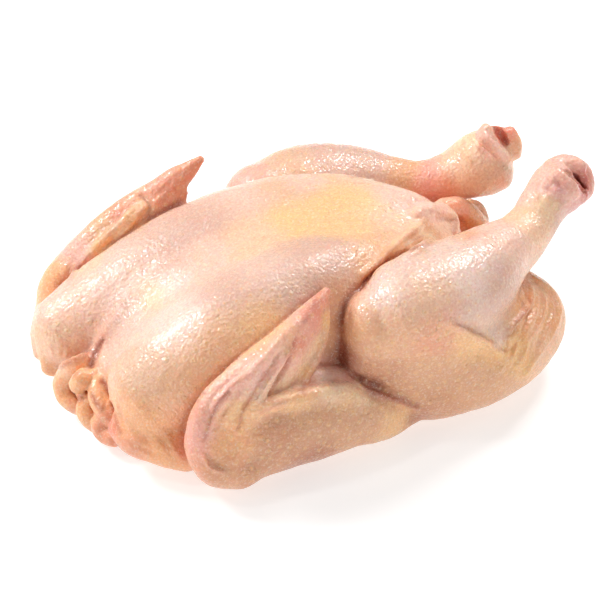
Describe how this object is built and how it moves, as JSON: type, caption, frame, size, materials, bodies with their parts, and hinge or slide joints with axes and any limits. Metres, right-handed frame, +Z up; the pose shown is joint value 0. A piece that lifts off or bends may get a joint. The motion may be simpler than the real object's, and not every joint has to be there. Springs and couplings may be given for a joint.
{
  "type": "whole raw chicken",
  "caption": "Whole plucked raw chicken lying on its back, breast up, wings folded back and drumsticks raised with cut hocks, loose neck skin at the front",
  "frame": {"origin": "on the board, under the middle of the bounding box", "axes": "+X from the neck opening towards the hocks, +Z up out of the breast, the bird lies on its back; -Y is the bird's right side"},
  "size_m": [0.2388, 0.1668, 0.0895],
  "materials": {
    "skin": "moist pale pink to yellow skin, soft gloss"
  },
  "bodies": {
    "root": {"chicken": "skin"}
  },
  "joints": []
}
